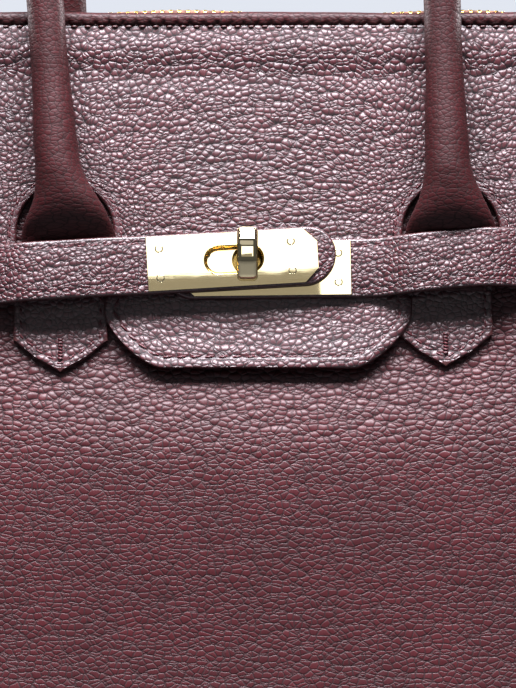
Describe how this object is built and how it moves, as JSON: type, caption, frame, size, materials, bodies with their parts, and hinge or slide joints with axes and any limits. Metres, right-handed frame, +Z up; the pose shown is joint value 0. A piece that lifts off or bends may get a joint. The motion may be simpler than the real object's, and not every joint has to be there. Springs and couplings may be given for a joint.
{
  "type": "leather handbag",
  "caption": "Structured top-handle leather handbag with front flap, belt straps over a turn-lock, rolled handles and zipped mouth.",
  "frame": {"origin": "centre of the footprint on the surface the feet stand on", "axes": "+X to the right seen from the front, +Y towards the back, +Z up"},
  "size_m": [0.3, 0.156, 0.3323],
  "materials": {
    "pebbled_leather": "pebbled, satin",
    "smooth_leather": "fine grain, satin",
    "backing_leather": "smooth, matte",
    "lining_leather": "smooth, matte",
    "gold_plate": "polished, pale gold",
    "gold_fittings": "polished, gold",
    "zip_metal": "polished",
    "zip_tape": "woven tape",
    "cord_core": "twisted cord",
    "board": "pressed board",
    "steel": "brushed"
  },
  "bodies": {
    "bag": {"front_panel": "pebbled_leather", "back_panel": "pebbled_leather", "base_panel": "pebbled_leather", "gusset_left": "pebbled_leather", "gusset_right": "pebbled_leather", "lining": "lining_leather", "inner_pocket": "backing_leather", "base_stiffener": "board", "feet": "gold_fittings", "flap": "pebbled_leather", "flap_lining": "backing_leather", "rim_binding_front": "smooth_leather", "rim_binding_back": "smooth_leather", "handle_front_base_left": "smooth_leather", "handle_front_base_right": "smooth_leather", "handle_back_base_left": "smooth_leather", "handle_back_base_right": "smooth_leather", "strap_left": "pebbled_leather", "strap_right": "pebbled_leather", "strap_left_plate": "gold_plate", "strap_right_plate": "gold_plate", "strap_left_rivets": "gold_fittings", "strap_right_rivets": "gold_fittings", "lock_base_plate": "gold_fittings", "lock_backing": "steel", "lock_post": "gold_fittings", "zip_tape_front": "zip_tape", "zip_tape_back": "zip_tape", "zip_teeth_front": "zip_metal", "zip_teeth_back": "zip_metal", "zip_stops": "zip_metal", "zip_end_tab": "smooth_leather"},
    "front_handle": {"handle_front": "smooth_leather", "handle_front_core": "cord_core"},
    "back_handle": {"handle_back": "smooth_leather", "handle_back_core": "cord_core"},
    "turning_bar": {"lock_toggle": "gold_plate"},
    "slider": {"zip_slider": "gold_fittings"},
    "puller": {"zip_pull": "gold_fittings"}
  },
  "joints": [
    {"name": "front_handle_tilt", "type": "hinge", "parent": "bag", "child": "front_handle", "pos_m": [0, -0.06635, 0.18316], "axis": [1, 0, 0], "range_deg": [0, 30], "stiffness_Nm_per_rad": 0.12},
    {"name": "back_handle_tilt", "type": "hinge", "parent": "bag", "child": "back_handle", "pos_m": [0, 0.06635, 0.18316], "axis": [-1, 0, 0], "range_deg": [0, 30], "stiffness_Nm_per_rad": 0.12},
    {"name": "lock_turn", "type": "hinge", "parent": "bag", "child": "turning_bar", "pos_m": [-0.0034, -0.06906, 0.15326], "axis": [0, -0.9915, 0.1301], "continuous": true},
    {"name": "zip_slide", "type": "slide", "parent": "bag", "child": "slider", "axis": [1, 0, 0], "range_m": [-0.001, 0.006]},
    {"name": "puller_swing", "type": "hinge", "parent": "slider", "child": "puller", "pos_m": [0.11282, 0, 0.23575], "axis": [0, -1, 0], "range_deg": [0, 170]}
  ]
}
